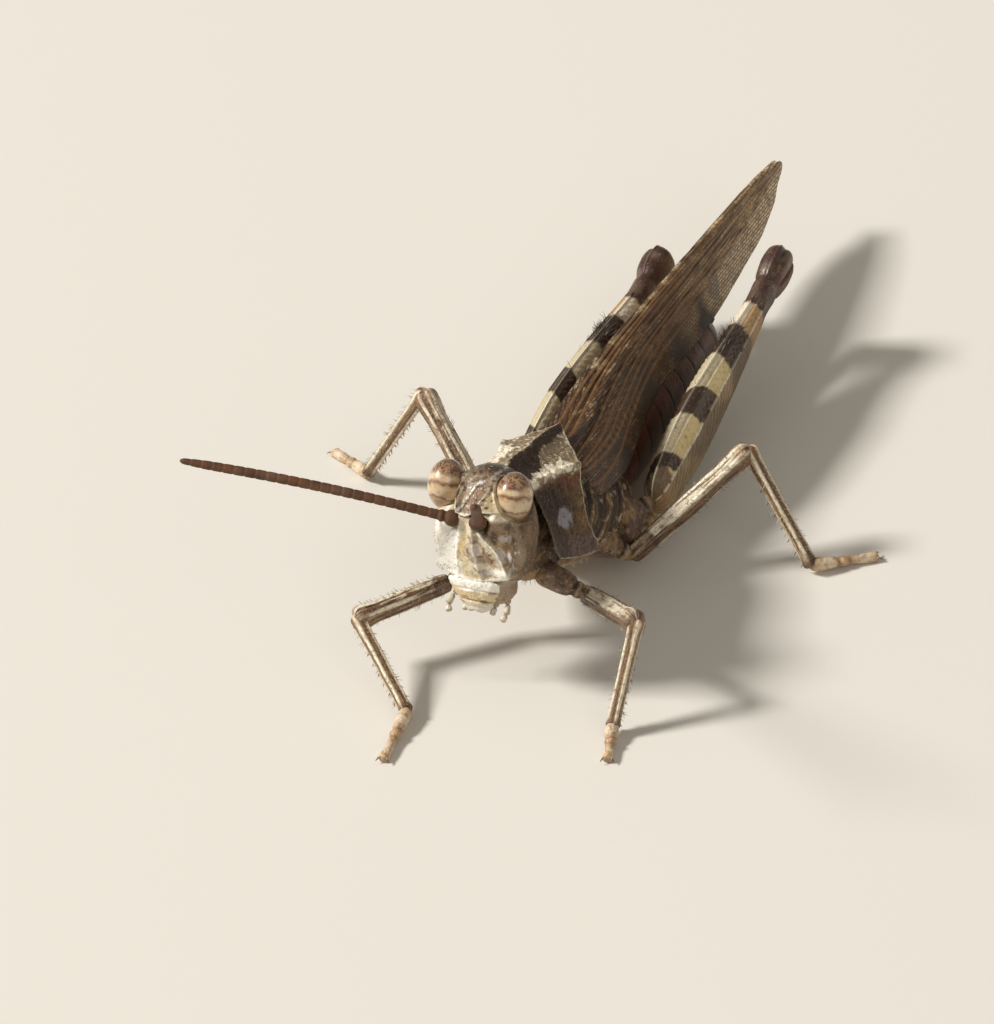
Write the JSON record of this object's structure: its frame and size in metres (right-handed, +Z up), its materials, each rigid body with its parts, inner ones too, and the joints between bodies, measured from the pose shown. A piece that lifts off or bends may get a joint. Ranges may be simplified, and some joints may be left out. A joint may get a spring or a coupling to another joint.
{
  "type": "grasshopper model",
  "caption": "Life-size still model of a band-winged seaside grasshopper, standing on the floor with raised head, long narrow folded wings and banded hind thighs.",
  "frame": {"origin": "middle of the box around the model, on the floor that the feet stand on", "axes": "+Z up, -Y towards the head, +Y towards the wing tips, +X towards the insect's left side"},
  "size_m": [0.02, 0.0346, 0.0125],
  "materials": {
    "cuticle": "satin, pale cream and grey-brown mottling",
    "shield": "satin, brown with pale edges",
    "eye": "glossy, striped cream and reddish brown",
    "dark_horn": "satin",
    "wing": "satin, dark brown with pale flecks and veins",
    "fan": "satin, folded membrane",
    "belly": "satin",
    "thigh": "satin, cream with dark brown bands",
    "leg": "satin, cream with brown stripes"
  },
  "bodies": {
    "root": {"eye_left": "eye", "eye_right": "eye", "head": "cuticle", "labrum": "cuticle", "jaws": "cuticle", "tegmen_left": "wing", "tegmen_right": "wing", "hindwing_left": "fan", "hindwing_right": "fan", "abdomen": "belly", "pronotum": "shield", "prothorax": "cuticle", "pterothorax": "cuticle", "antenna_left": "dark_horn", "antenna_right": "dark_horn", "fore_left_coxa": "leg", "fore_left_femur": "leg", "fore_left_tibia": "leg", "fore_left_tarsus": "leg", "fore_right_coxa": "leg", "fore_right_femur": "leg", "fore_right_tibia": "leg", "fore_right_tarsus": "leg", "mid_left_coxa": "leg", "mid_left_femur": "leg", "mid_left_tibia": "leg", "mid_left_tarsus": "leg", "mid_right_coxa": "leg", "mid_right_femur": "leg", "mid_right_tibia": "leg", "mid_right_tarsus": "leg", "hind_left_coxa": "leg", "hind_left_femur": "thigh", "hind_left_tibia": "leg", "hind_left_tarsus": "leg", "hind_right_coxa": "leg", "hind_right_femur": "thigh", "hind_right_tibia": "leg", "hind_right_tarsus": "leg"}
  },
  "joints": []
}
